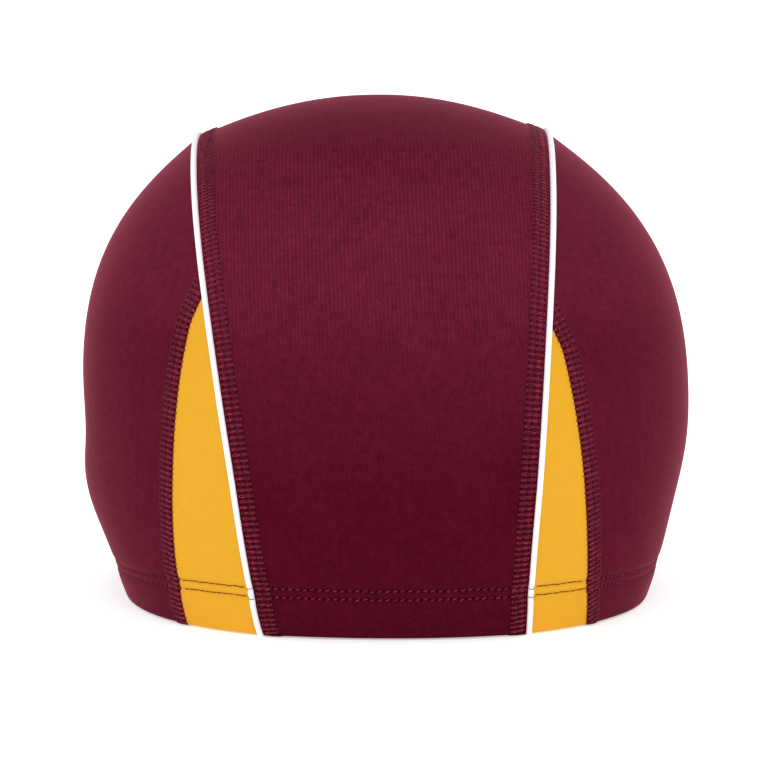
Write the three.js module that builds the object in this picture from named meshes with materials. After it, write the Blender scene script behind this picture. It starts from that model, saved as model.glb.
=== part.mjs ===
// A swimmer's fabric cap, standing on its hem. Millimetres, +Z up, origin on the floor under its middle.
// The end with the narrow part of the centre panel towards -Y is the front; left is -X.
// It is sewn from a centre panel, two side panels and four gold wedges, with white piping in the long seams.
// The form is one smooth surface. Each panel is a wall on it between seam lines, lofted row by row.
import * as THREE from "three";
import { mergeVertices } from "three/addons/utils/BufferGeometryUtils.js";

// Overall form, outside the fabric.
const CAP_WIDTH = 166;
const CAP_LENGTH = 200;
const CAP_HEIGHT = 135.8;
const RIM_WIDTH = 144;
const RIM_LENGTH = 176;
const CROWN_LEAN = -3.3; // how far the top of the crown sits off the middle
const LEAN_START = 0.3; // share of the height where the lean begins
const LEAN_BOW = 1.3; // exponent of the lean above that; 1 is straight

// Fabric, hem and seams.
const FABRIC = 1.2;
const HEM_HEIGHT = 12.5;
const HEM_EDGE = 0.7; // height over which the turned-up layer ends
const SEAM_GAP = 0.3;
const PIPING_DIAMETER = 1.8;
const PIPING_RISE = 0.35; // the cord's centre above the outside of the fabric
const STITCH_BAND = 4.2; // width of the coverstitched seam allowance
const BAND_RISE = 0.45;
const BAND_EDGE = 0.5;
const CREASE_RISE = 1.5; // the long seams stand up over the crown as soft creases
const CREASE_AT_HEM = 0.3; // share of the crease's rise that is left at the hem
const CREASE_REACH = 9;
const HEM_PINCH = 0.4; // how far the hem stitching draws the fabric in
const PINCH_REACH = 4;

// Centre panel from seam to seam, and the gold wedges as they show from the end.
const CENTRE_AT_HEM = 68.6;
const CENTRE_AT_CROWN = 97.1;
const WEDGE_WIDTH = 17;
const WEDGE_HEIGHT = 85.5;
const WEDGE_ROUND = 0.8; // exponent of the wedge's outer edge at its tip

// One row for each side, as shares of the four sizes above. The fabric is stretched a little askew.
// bow is the exponent of the seam's spread from hem to crown: 1 is even, and below 1 it spreads sooner.
// wide and tall are the gold wedge's, and taper is the exponent of its outer edge: higher is fuller.
const SIDES = [
  { name: "left", sign: -1, hem: 0.47, crown: 0.512, bow: 0.78, wide: 1.115, tall: 1.04, taper: 1.9 },
  { name: "right", sign: 1, hem: 0.53, crown: 0.488, bow: 1.35, wide: 0.88, tall: 0.96, taper: 1.7 },
];

// Upright profiles as shares: where the form is widest, and how full it is above that.
const WIDTH_PROFILE = { size: CAP_WIDTH, rim: RIM_WIDTH, widest: 0.41, fullness: 2.39 };
const FRONT_PROFILE = { size: CAP_LENGTH, rim: RIM_LENGTH, widest: 0.4, fullness: 2.6 };
const BACK_PROFILE = { size: CAP_LENGTH, rim: RIM_LENGTH, widest: 0.46, fullness: 2.3 };
const SQUARENESS = 2.3; // exponent of the level sections; 2 is an ellipse

// Soft bulges, and dents below 0. The place is in shares of the half width, half length and height, the rise
// in shares of the largest, and the radius in shares of the height.
const SWELL_RISE = 2.1;
const SWELL_STRETCH = 2.5; // how many times longer they are from front to back
const SWELLS = [
  { across: -1, along: 0, up: 0.235, rise: 1, radius: 0.13 },
  { across: -1, along: 0, up: 0.34, rise: -0.75, radius: 0.075 },
  { across: -0.93, along: 0, up: 0.1, rise: -0.8, radius: 0.06 },
  { across: 0.95, along: 0, up: 0.17, rise: -0.62, radius: 0.12 },
];

// How finely the pieces are lofted.
const WEDGE_ROWS = 13;
const CROWN_ROWS = 22;
const CENTRE_COLUMNS = 8;
const SIDE_COLUMNS = 22;
const WEDGE_COLUMNS = 3;
const CORD_SIDES = 8;
const CURVE_STEPS = 48;
const HALVINGS = 48; // how often a ray is halved to find where it meets the form
const SLOPE_STEP = 0.05; // points this far apart give the form's slope
const SLANT_STEP = 0.02; // the same along a wedge's edge, as a share of its height
const STEEPEST_SLANT = 1.5; // the slant counted for a wedge's edge goes no further, near its tip
const CLOSE = 1e-6; // lengths that differ by less than this are equal
const FLATTEST = 1e-9; // keeps the top of the form from closing to a point
const WELD = 1e-4; // points closer than this become one

const FRONT = -1;
const BACK = 1;
const ENDS = [
  { name: "front", sign: FRONT },
  { name: "back", sign: BACK },
];
const MIDDLE_HEIGHT = WIDTH_PROFILE.widest * CAP_HEIGHT; // rays that find the surface start here
const PANEL_EDGE = PIPING_DIAMETER / 2 + SEAM_GAP; // from the middle of the piping to a panel's edge
const WEDGE_TIP = 0.985; // the wedge's cut end, as a share of its height

const materials = {
  burgundy: new THREE.MeshStandardMaterial({ color: 0x5f1528, roughness: 0.75, metalness: 0 }),
  gold: new THREE.MeshStandardMaterial({ color: 0xf2b02f, roughness: 0.75, metalness: 0 }),
  white: new THREE.MeshStandardMaterial({ color: 0xf3eef4, roughness: 0.6, metalness: 0 }),
};

const lerp = THREE.MathUtils.lerp;
const vector = (x, y, z) => new THREE.Vector3(x, y, z);

// Half the form's width or length at a height, from one of the profiles.
function halfSize(profile, height) {
  const share = Math.min(height / CAP_HEIGHT, 1);
  if (share > profile.widest) {
    const up = (share - profile.widest) / (1 - profile.widest);
    return (profile.size / 2) * Math.sqrt(Math.max(1 - up ** profile.fullness, FLATTEST));
  }
  const down = (profile.widest - share) / profile.widest;
  return lerp(profile.size, profile.rim, down * down) / 2;
}

const lengthProfile = (y) => (y < 0 ? FRONT_PROFILE : BACK_PROFILE);

// Below 0 inside the form, 0 on it and above 0 outside.
function outside(p) {
  const across = Math.abs(p.x) / halfSize(WIDTH_PROFILE, p.z);
  const along = Math.abs(p.y) / halfSize(lengthProfile(p.y), p.z);
  return across ** SQUARENESS + along ** SQUARENESS - 1;
}

// The form's outward normal; a point on the rim gets a level one, so that the rim stays flat.
function normalAt(p) {
  const slope = (by) => outside(p.clone().add(by)) - outside(p.clone().sub(by));
  const up = p.z < SLOPE_STEP ? 0 : slope(vector(0, 0, SLOPE_STEP));
  return vector(slope(vector(SLOPE_STEP, 0, 0)), slope(vector(0, SLOPE_STEP, 0)), up).normalize();
}

// The point on the form at a height and a sideways place, at one end.
function levelPoint(x, z, end) {
  const across = Math.min(Math.abs(x) / halfSize(WIDTH_PROFILE, z), 1);
  const length = halfSize(end < 0 ? FRONT_PROFILE : BACK_PROFILE, z);
  return vector(x, end * length * (1 - across ** SQUARENESS) ** (1 / SQUARENESS), z);
}

// The point on the form at a height and an angle round the upright axis, from +X towards +Y.
function ringPoint(angle, z) {
  const width = halfSize(WIDTH_PROFILE, z);
  const length = halfSize(lengthProfile(Math.sin(angle)), z);
  const across = Math.abs(Math.cos(angle) / width);
  const along = Math.abs(Math.sin(angle) / length);
  const radius = (across ** SQUARENESS + along ** SQUARENESS) ** (-1 / SQUARENESS);
  return vector(radius * Math.cos(angle), radius * Math.sin(angle), z);
}

// The point on the form at an angle over the crown, from front to back, where x may follow z.
function overPoint(angle, xAt) {
  let near = 0;
  let far = CAP_LENGTH + CAP_HEIGHT;
  const at = (reach) => {
    const z = MIDDLE_HEIGHT + reach * Math.sin(angle);
    return vector(xAt(z), -reach * Math.cos(angle), z);
  };
  for (let i = 0; i < HALVINGS; i++) {
    const half = (near + far) / 2;
    if (outside(at(half)) < 0) near = half;
    else far = half;
  }
  return at(near);
}

const angleOver = (p) => Math.atan2(p.z - MIDDLE_HEIGHT, -p.y);

// The long seam's sideways place at a height.
function seamX(side, z) {
  const spread = (z / CAP_HEIGHT) ** side.bow;
  return side.sign * lerp(side.hem * CENTRE_AT_HEM, side.crown * CENTRE_AT_CROWN, spread);
}

// How much of x one millimetre along the form covers, sideways.
function sideways(p) {
  const n = normalAt(p);
  return Math.sqrt(1 - n.x * n.x);
}

// The sideways place of a line beside the long seam, away from the centre panel if the distance is above 0.
function besideSeam(side, p, distance) {
  return p.x + side.sign * distance * sideways(p);
}

const wedgeTip = (side) => side.tall * WEDGE_HEIGHT;

// The gold wedge's outer edge: it leaves the piping at the wedge's height and swells out to the hem.
function wedgeEdgeX(side, z, end, distance) {
  const tip = wedgeTip(side);
  const shape = (s) => (1 - THREE.MathUtils.clamp(s, 0, 1) ** side.taper) ** WEDGE_ROUND;
  const spread = (s) => side.wide * WEDGE_WIDTH * shape(s);
  const share = z / tip;
  const slant = (spread(share - SLANT_STEP) - spread(share)) / (SLANT_STEP * tip);
  const seam = levelPoint(seamX(side, z), z, end);
  const edge = levelPoint(besideSeam(side, seam, PANEL_EDGE) + side.sign * spread(share), z, end);
  return edge.x + side.sign * distance * Math.hypot(sideways(edge), Math.min(slant, STEEPEST_SLANT));
}

// Levels of the rows from the hem up to the wedge's tip.
function wedgeLevels(side) {
  const levels = [0, HEM_HEIGHT / 2, HEM_HEIGHT];
  const foot = HEM_HEIGHT + HEM_EDGE;
  const top = WEDGE_TIP * wedgeTip(side);
  for (let i = 0; i < WEDGE_ROWS; i++) levels.push(lerp(foot, top, i / (WEDGE_ROWS - 1)));
  return levels;
}

// The long seam's middle line from the front hem over the crown to the back hem.
function seamLine(side) {
  const levels = [...wedgeLevels(side), wedgeTip(side)];
  const rising = (end) => levels.map((z) => levelPoint(seamX(side, z), z, end));
  const front = rising(FRONT);
  const back = rising(BACK).reverse();
  const from = angleOver(front.at(-1));
  const to = angleOver(back[0]);
  const crown = [];
  for (let i = 1; i < CROWN_ROWS; i++) {
    crown.push(overPoint(lerp(from, to, i / CROWN_ROWS), (z) => seamX(side, z)));
  }
  return [...front, ...crown, ...back];
}

for (const side of SIDES) side.seam = seamLine(side);

// The shortest way from a point to the nearest long seam.
function seamDistance(p) {
  let nearest = Infinity;
  const segment = new THREE.Line3();
  const foot = vector(0, 0, 0);
  for (const side of SIDES) {
    for (let i = 1; i < side.seam.length; i++) {
      segment.set(side.seam[i - 1], side.seam[i]).closestPointToPoint(p, true, foot);
      nearest = Math.min(nearest, foot.distanceTo(p));
    }
  }
  return nearest;
}

// How far the fabric stands off the smooth form: the creases, the drawn-in hem and the swells.
function relief(p) {
  const crease = CREASE_RISE * lerp(CREASE_AT_HEM, 1, p.z / CAP_HEIGHT);
  let rise = crease * Math.exp(-seamDistance(p) / CREASE_REACH);
  rise -= HEM_PINCH * Math.exp(-(((p.z - HEM_HEIGHT) / PINCH_REACH) ** 2));
  for (const swell of SWELLS) {
    const { across, along } = swell;
    const peak = vector((across * CAP_WIDTH) / 2, (along * CAP_LENGTH) / 2, swell.up * CAP_HEIGHT);
    const away = Math.hypot(p.x - peak.x, (p.y - peak.y) / SWELL_STRETCH, p.z - peak.z);
    rise += SWELL_RISE * swell.rise * Math.exp(-((away / (swell.radius * CAP_HEIGHT)) ** 2));
  }
  return rise;
}

// The crown leans a little to one side.
function lean(z) {
  const up = (z / CAP_HEIGHT - LEAN_START) / (1 - LEAN_START);
  return CROWN_LEAN * THREE.MathUtils.clamp(up, 0, 1) ** LEAN_BOW;
}

// A point of the form, moved out by its relief and a lift.
function place(p, lift) {
  const made = p.clone().addScaledVector(normalAt(p), relief(p) + lift);
  made.x += lean(made.z);
  return made;
}

// Thickness of the wall at a height: two layers in the hem.
function wallAt(z) {
  const fold = 1 - THREE.MathUtils.clamp((z - HEM_HEIGHT) / HEM_EDGE, 0, 1);
  return FABRIC * (1 + fold);
}

// A closed solid through rings of equally many points. Each cap joins a ring's two halves point by point.
function loft(rings) {
  const count = rings[0].length;
  const positions = rings.flatMap((ring) => ring.flatMap((p) => [p.x, p.y, p.z]));
  const faces = [];
  const quad = (a, b, c, d) => faces.push(a, b, c, a, c, d);
  for (let r = 0; r + 1 < rings.length; r++) {
    for (let i = 0; i < count; i++) {
      const next = (i + 1) % count;
      quad(r * count + i, r * count + next, (r + 1) * count + next, (r + 1) * count + i);
    }
  }
  const last = (rings.length - 1) * count;
  for (let i = 0; i + 1 < count / 2; i++) {
    const across = count - 1 - i;
    quad(i, across, across - 1, i + 1);
    quad(last + i, last + i + 1, last + across - 1, last + across);
  }
  const geometry = new THREE.BufferGeometry();
  geometry.setAttribute("position", new THREE.Float32BufferAttribute(positions, 3));
  geometry.setIndex(signedVolume(positions, faces) < 0 ? faces.reverse() : faces);
  return mergeVertices(geometry, WELD);
}

function signedVolume(positions, faces) {
  const at = (i) => vector(...positions.slice(3 * i, 3 * i + 3));
  let volume = 0;
  for (let i = 0; i < faces.length; i += 3) {
    volume += at(faces[i]).dot(at(faces[i + 1]).cross(at(faces[i + 2])));
  }
  return volume;
}

// Stations along a row: its ends, the far sides of any stitch band, and even steps between.
function stations(length, columns, bands) {
  const first = bands.start ? [0, STITCH_BAND, STITCH_BAND + BAND_EDGE] : [0];
  const last = bands.end ? [STITCH_BAND + BAND_EDGE, STITCH_BAND, 0].map((d) => length - d) : [length];
  const from = first.at(-1);
  const to = last[0];
  const between = Array.from({ length: columns - 1 }, (_, i) => lerp(from, to, (i + 1) / columns));
  return [...first, ...between, ...last];
}

// One closed ring of a panel, from a curve on the form: the outside one way and the inside back.
function panelRing(curve, columns, bands) {
  const line = Array.from({ length: CURVE_STEPS + 1 }, (_, i) => curve(i / CURVE_STEPS));
  const travelled = [0];
  for (let i = 1; i < line.length; i++) travelled.push(travelled[i - 1] + line[i].distanceTo(line[i - 1]));
  const length = travelled.at(-1);
  const outer = [];
  const inner = [];
  for (const distance of stations(length, columns, bands)) {
    const i = THREE.MathUtils.clamp(travelled.findIndex((t) => t >= distance), 1, line.length - 1);
    const share = (distance - travelled[i - 1]) / (travelled[i] - travelled[i - 1]);
    const p = curve((i - 1 + share) / CURVE_STEPS);
    const reach = STITCH_BAND + CLOSE;
    const onBand = (bands.start && distance <= reach) || (bands.end && distance >= length - reach);
    outer.push(place(p, onBand ? BAND_RISE : 0));
    inner.unshift(place(p, -wallAt(p.z)));
  }
  return [...outer, ...inner];
}

function mesh(name, geometry, material) {
  const made = new THREE.Mesh(geometry, material);
  made.name = name;
  return made;
}

// The centre panel: rows across, from the front hem over the crown to the back hem.
function centrePanel() {
  const [left, right] = SIDES;
  const rowCount = left.seam.length;
  const levelRows = wedgeLevels(left).length + 1;
  const rings = left.seam.map((_, i) => {
    const a = left.seam[i];
    const b = right.seam[i];
    const xa = besideSeam(left, a, -PANEL_EDGE);
    const xb = besideSeam(right, b, -PANEL_EDGE);
    const end = i < levelRows ? FRONT : BACK;
    if (i < levelRows || i >= rowCount - levelRows) {
      const level = (u) => levelPoint(lerp(xa, xb, u), lerp(a.z, b.z, u), end);
      return panelRing(level, CENTRE_COLUMNS, { start: true, end: true });
    }
    // The crown's rows bow so that they come away evenly from the level rows.
    const along = (i - levelRows + 1) / (rowCount - 2 * levelRows + 1);
    const middle = (row) => angleOver(levelPoint(0, left.seam[row].z, row < levelRows ? FRONT : BACK));
    const bowed = lerp(middle(levelRows - 1), middle(rowCount - levelRows), along);
    const over = (u) => {
      const edge = lerp(angleOver(a), angleOver(b), u);
      const angle = lerp(edge, bowed, 1 - (2 * u - 1) ** 2);
      return overPoint(angle, () => lerp(xa, xb, u));
    };
    return panelRing(over, CENTRE_COLUMNS, { start: true, end: true });
  });
  return mesh("centre_panel", loft(rings), materials.burgundy);
}

// A gold wedge: level rows from the hem up to its tip, from the piping to the side panel.
function wedge(side, end) {
  const rings = wedgeLevels(side).map((z) => {
    const seam = levelPoint(seamX(side, z), z, end.sign);
    const from = besideSeam(side, seam, PANEL_EDGE);
    const to = wedgeEdgeX(side, z, end.sign, 0);
    return panelRing((u) => levelPoint(lerp(from, to, u), z, end.sign), WEDGE_COLUMNS, {});
  });
  return mesh(`insert_${end.name}_${side.name}`, loft(rings), materials.gold);
}

// Angle and height of a point, with the angle running from the front round the side to the back.
function unrolled(p) {
  return { turn: Math.atan2(p.y, Math.abs(p.x)), z: p.z };
}

// The point at u, from 0 to 1, along a list of unrolled points.
function alongList(list, u) {
  const at = Math.min(u, 1 - CLOSE) * (list.length - 1);
  const i = Math.floor(at);
  return blend(list[i], list[i + 1], at - i);
}

function blend(a, b, share) {
  return { turn: lerp(a.turn, b.turn, share), z: lerp(a.z, b.z, share) };
}

// A side panel: rows from front to back, level at the hem and rising to the long seam at the top.
function sidePanel(side) {
  const levels = wedgeLevels(side);
  const edge = (z, end) => unrolled(levelPoint(wedgeEdgeX(side, z, end, SEAM_GAP), z, end));
  const corner = (end) => {
    const z = wedgeTip(side);
    const seam = levelPoint(seamX(side, z), z, end);
    return unrolled(levelPoint(besideSeam(side, seam, PANEL_EDGE), z, end));
  };
  const overCrown = side.seam.slice(levels.length + 1, side.seam.length - levels.length - 1).map((p) => {
    const x = besideSeam(side, p, PANEL_EDGE);
    return unrolled(overPoint(angleOver(p), () => x));
  });
  const top = [corner(FRONT), ...overCrown, corner(BACK)];
  const hemRows = levels.filter((z) => z <= HEM_HEIGHT + HEM_EDGE + CLOSE).length;
  const rows = [...levels.map((z) => [edge(z, FRONT), edge(z, BACK)]), [top[0], top.at(-1)]];
  const rings = rows.map(([front, back], i) => {
    const rise = Math.max(i - hemRows + 1, 0) / (rows.length - hemRows);
    const curve = (u) => {
      const level = blend(front, back, u);
      const chord = blend(top[0], top.at(-1), u);
      const crest = alongList(top, u);
      const turn = level.turn + rise * (crest.turn - chord.turn);
      const p = ringPoint(turn, level.z + rise * (crest.z - chord.z));
      return vector(side.sign * p.x, p.y, p.z);
    };
    return panelRing(curve, SIDE_COLUMNS, { start: true, end: true });
  });
  return mesh(`side_panel_${side.name}`, loft(rings), materials.burgundy);
}

// The piping: a round cord that lies in the long seam and ends flush with the rim.
function piping(side) {
  const line = side.seam;
  const rings = line.map((p, i) => {
    const before = line[Math.max(i - 1, 0)];
    const after = line[Math.min(i + 1, line.length - 1)];
    const along = after.clone().sub(before).normalize();
    const out = normalAt(p);
    const across = out.clone().cross(along).normalize();
    const centre = place(p, PIPING_RISE);
    const atRim = i === 0 || i === line.length - 1;
    return Array.from({ length: CORD_SIDES }, (_, k) => {
      const turn = (2 * Math.PI * (k + 0.5)) / CORD_SIDES;
      const q = centre.clone().addScaledVector(out, (Math.cos(turn) * PIPING_DIAMETER) / 2);
      q.addScaledVector(across, (Math.sin(turn) * PIPING_DIAMETER) / 2);
      if (atRim) q.z = 0;
      return q;
    });
  });
  return mesh(`piping_${side.name}`, loft(rings), materials.white);
}

const cap = new THREE.Group();
cap.add(centrePanel());
for (const side of SIDES) {
  cap.add(sidePanel(side), piping(side));
  for (const end of ENDS) cap.add(wedge(side, end));
}
const middle = new THREE.Box3().setFromObject(cap).getCenter(vector(0, 0, 0));
cap.position.set(-middle.x, -middle.y, 0);

export default cap;
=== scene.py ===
"""A swimmer's fabric cap that stands on its hem. In metres, in the same frame as its solids."""

import math
from collections import namedtuple

import bpy
import numpy as np
from bpy.props import FloatProperty, FloatVectorProperty, PointerProperty
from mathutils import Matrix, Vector
from mathutils.kdtree import KDTree


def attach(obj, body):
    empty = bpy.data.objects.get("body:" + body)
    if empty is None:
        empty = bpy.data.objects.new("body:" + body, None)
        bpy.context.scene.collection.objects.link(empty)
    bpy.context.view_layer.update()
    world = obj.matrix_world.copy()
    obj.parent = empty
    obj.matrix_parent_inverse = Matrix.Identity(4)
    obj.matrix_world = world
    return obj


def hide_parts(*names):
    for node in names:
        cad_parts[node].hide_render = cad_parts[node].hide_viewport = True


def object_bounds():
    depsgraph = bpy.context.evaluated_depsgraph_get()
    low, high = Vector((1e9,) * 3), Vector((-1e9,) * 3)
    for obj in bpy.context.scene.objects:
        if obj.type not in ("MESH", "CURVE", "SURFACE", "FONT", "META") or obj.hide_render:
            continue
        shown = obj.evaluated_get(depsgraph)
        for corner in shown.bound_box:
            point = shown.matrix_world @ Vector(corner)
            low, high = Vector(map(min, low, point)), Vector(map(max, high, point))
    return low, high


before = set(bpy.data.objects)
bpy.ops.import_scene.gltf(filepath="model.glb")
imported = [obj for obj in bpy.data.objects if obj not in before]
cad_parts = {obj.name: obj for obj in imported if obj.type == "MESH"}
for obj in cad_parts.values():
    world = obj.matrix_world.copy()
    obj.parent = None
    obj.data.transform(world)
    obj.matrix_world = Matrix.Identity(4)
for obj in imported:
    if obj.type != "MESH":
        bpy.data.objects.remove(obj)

bl_info = {
    "name": "Swim Cap",
    "version": (1, 0, 0),
    "blender": (4, 5, 0),
    "location": "3D View > Sidebar > Swim Cap",
    "description": "Builds a sewn fabric swim cap with piped seams and stitches",
    "category": "Object",
}

CAD_LOW, CAD_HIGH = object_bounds()
MM = 0.001

# Upright profiles of the smooth form: where it is widest, as a share of the height, and how full above that.
Profile = namedtuple("Profile", "size rim widest fullness")
WIDTH_SHAPE = (0.41, 2.39)
FRONT_SHAPE = (0.4, 2.6)
BACK_SHAPE = (0.46, 2.3)
SQUARENESS = 2.3

# One row for each side: seam places as shares of the centre panel's width, and the gold wedge's shares.
Side = namedtuple("Side", "name sign hem crown bow wedge_width wedge_height taper")
SIDES = (
    Side("left", -1, 0.47, 0.512, 0.78, 1.115, 1.04, 1.9),
    Side("right", 1, 0.53, 0.488, 1.35, 0.88, 0.96, 1.7),
)
FRONT, BACK = -1, 1
ENDS = (("front", FRONT), ("back", BACK))

# Soft bulges, and dents below 0: place in shares of half width and height, rise and radius in shares too.
SWELLS = (
    {"across": -1.0, "up": 0.235, "rise": 1.0, "radius": 0.13},
    {"across": -1.0, "up": 0.34, "rise": -0.75, "radius": 0.075},
    {"across": -0.93, "up": 0.1, "rise": -0.8, "radius": 0.06},
    {"across": 0.95, "up": 0.17, "rise": -0.62, "radius": 0.12},
)
SWELL_RISE = 2.1 * MM
SWELL_STRETCH = 2.5  # a swell is this much longer from front to back
FORM_SHIFT = 0.331 * MM  # the smooth form's middle lies this far to the right of the origin
LEAN_START = 0.3  # share of the height
LEAN_BOW = 1.3
CREASE_RISE = 1.5 * MM  # the fabric comes out in a soft ridge along each long seam
CREASE_AT_HEM = 0.3
CREASE_REACH = 9 * MM
WEDGE_ROUND = 0.8
RIM_LEVEL = 8 * MM  # below this height the form's normals turn level
CROWN_START = 0.6  # from this share of the height up, rows run over the crown

# Broad waves and fine ripples of stretched cloth. Lengths are of one radian, across, front to back and up.
WAVE_RISE = 0.12 * MM
WAVE_LENGTHS = (13 * MM, 17 * MM, 19 * MM)
WAVE_SWING = 1.3  # in radians
SWING_LENGTH = 21 * MM
RIPPLE_RISE = 0.07 * MM
RIPPLE_LENGTHS = (5.1 * MM, 7.7 * MM, 6.3 * MM)
RIPPLE_START = 1.1  # in radians
RIPPLE_TOP = 0.5  # share of the height where they end

# Piping.
PIPING_IN_HEM = 0.6  # how much of the hem's shape the piping follows
PINCH = 0.2  # share of its girth that it loses under a hem thread
PINCH_REACH = 0.4 * MM

# Seams. A panel comes out from under the piping, and its own edge is tucked in there.
PANEL_EDGE = 1.2 * MM  # where it comes out, from the seam's middle line
EDGE_IN = 0.15 * MM  # where it ends
TUCK = 0.7 * MM  # how deep it is tucked
TUCK_SPAN = (0.3, 1)  # it goes down between these shares of the piping's radius from the seam
TIP_SHARE = 0.9  # the gold closes to a point from this share of its height
GOLD_START = 0.1 * MM  # a side panel's band starts this far from the gold
TAIL = 14 * MM  # the band runs on past the gold's tip, until it meets the piping
TAIL_START = 0.95  # share of the gold's height
TAIL_AIM = 8  # it goes on as the last of these points lie
TAIL_STEPS = 30
FIRST_NEEDLE = 0.35 * MM  # the first row of holes, from the start of the band
UNDER_PIPING = 0.6 * MM  # the centre panel's bands rise this much sooner, under the piping
BAND_RISES = (-0.3 * MM, 0.25 * MM)  # a band comes up between these distances from its start
BAND_FALLS = (-0.1 * MM, 0.5 * MM)  # and goes down between these distances from its width
BAND_CROWN_LOSS = 0.55  # share of its height that a band loses over the crown
BAND_CROWN_START = 0.66
NO_BAND = 3 * MM  # given as the distance from a band where there is none

# Hem. The seams' thicker ends stand on the table, and the rim between them just clears it.
HEM_EDGE = 0.7 * MM  # the turned-up layer ends over this height
ROLL = 0.5 * MM  # radius of the fold at the hem's lower edge
GROOVE_DEPTH = 0.35 * MM
GROOVE_REACH = 0.7 * MM
DRAWN_IN = 0.25 * MM  # the hem is drawn in this much round its two rows
DRAWN_REACH = 3 * MM
HEM_SAG = 2 * MM  # the hem's rows run this much lower at the sides
HEM_SAG_CURVE = 6
RIM_CLEARS = 0.15 * MM
THICK_END_REACH = 2.4 * MM
RIM_SETTLES = 7 * MM  # above this height nothing is lifted

# Fabric: painted light on the burgundy, from 0 (its darker dye, low down) to 1 (its lighter dye, higher up),
# and how much the ribs show, in relief and as painted shade.
STRETCH = 1.08  # each panel is cut smaller each way than it is on a head
# The centre panel's painted light rises between the first two heights, and a little of it is taken back up
# to the third.
SHADOWED_HEIGHT = 30 * MM
BRIGHT_HEIGHT = 107 * MM
CROWN_HEIGHT = 128 * MM
CROWN_DIMMED = 0.35  # the centre panel takes this share less of the painted light up there
# The ribs show in relief and as painted shade in the colour. The shade is stronger higher up, where the top
# light grazes them.
CENTRE_RIBS = (0.35, 1.2)  # low down and high up
RIBS_GROW = (65 * MM, 100 * MM)  # they change from one to the other between these heights
RIBS_FADE = (120 * MM, 132 * MM)
RIBS_LOST = 0.7  # share of the ribs that is lost over the crown
# The side panels' painted light, low down and high up, and the heights between which it rises.
SIDE_LIGHTING = (0.5, 1)  # low down and high up
SIDE_BRIGHTENS = (70 * MM, 100 * MM)
SIDE_RIBS = 0.3
GOLD_RIBS = 0.15
STREAK_LENGTH = 7 * MM  # a rib shows and fades over this length
LOOP_WIDTH, LOOP_LENGTH = 0.45 * MM, 1.1 * MM
MOTTLE = 2.6 * MM
RIB_SWAY = 8 * MM  # the ribs wander over this distance
CLOUD = 14 * MM
PIPING_KNIT, PIPING_PATCHES = 0.5 * MM, 7 * MM
FILAMENTS = 1.1 * MM

# Stitches.
HOLE_DARK, HOLE_END = 0.11, 0.27  # a needle hole's radii, in stitches
HOLES_FADE, HOLES_END = 0.2, 0.6  # needle holes fade out past the outer rows, in shares of the rows' gap
THREAD_STEPS = np.linspace(0, 1, 5)
SUNK = 0.06 * MM  # how deep a thread's ends go into the cloth
SEAM_THREAD = 0.13 * MM  # threads are given by their radius
HEM_THREADS = {"pale": 0.13 * MM, "deep": 0.13 * MM, "dark": 0.12 * MM}
HEM_STITCH = (0.2, 0.8, 0.22 * MM)  # start and end in stitches, and slant
HEM_STITCH_ON_GOLD = (-0.05, 1.05, 0)
STRAY_ALONG, STRAY_ACROSS = 0.04, 0.03  # how unevenly a coverstitch lies, in stitches and rows
HEM_STRAY_ALONG, HEM_STRAY_UP = 0.03, 0.07 * MM
HEM_THREAD_RISE = 0.16 * MM
THREAD_TAPER = 0.4  # share of a thread's radius at its ends
SEAM_CLEARS_PIPING = 0.6  # stitches stay this far from the seam's middle line, in piping diameters
HEM_CLEARS_PIPING = 0.45
LOWEST_STITCH = 0.5 * MM  # a coverstitch stays above this height
CROSSING_TURN = 1.3  # how far round the piping a hem thread goes, each way
CROSSING_SHARE = 0.4  # its way round, as a share of the piping's diameter
CROSSING_CLEARS = 0.08 * MM

# Coverstitch threads: where each starts and ends, in stitches along and needle rows across, and its height.
Strand = namedtuple("Strand", "along_from along_to row_from row_to height")
SEAM_STRANDS = {
    "red": (
        Strand(0.34, 0.43, 0.06, 0.94, 0.16 * MM),
        Strand(0.66, 0.57, 0.06, 0.94, 0.13 * MM),
        Strand(0.24, 0.76, 0.0, 0.0, 0.1 * MM),
    ),
    "deep": (
        Strand(0.22, 0.78, 1.0, 1.0, 0.12 * MM),
        Strand(0.35, 0.44, 1.08, 1.92, 0.16 * MM),
        Strand(0.65, 0.56, 1.08, 1.92, 0.13 * MM),
        Strand(0.22, 0.78, 2.0, 2.0, 0.12 * MM),
    ),
}
# Red threads that reach over the edge of the gold, so that it looks notched.
EDGE_STRANDS = (Strand(0.36, 0.44, -0.52, 0.12, 0.3 * MM), Strand(0.64, 0.56, -0.52, 0.12, 0.3 * MM))

# How finely the lines and panels are drawn.
SLOPE_STEP = 0.05 * MM
FLATTEST = 1e-9  # keeps the crown's very top from having no width
SETTLE_ROUNDS = 3
HALVINGS = 40
SLANT_STEP = 0.02  # share of the gold's height over which its edge's slant is taken
STEEPEST_SLANT = 1.5  # beside the gold's rounded tip
LINE_LEVELS = 160
LINE_STEP = 0.1 * MM
OVER_CROWN = 260
RING_STEPS = 3001
TRACK_STEP = 0.25 * MM
PIPING_STEP = 0.6 * MM
PIPING_SIDES = 14
CURVE_STEPS = 60
CREST_STEPS = 161
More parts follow.
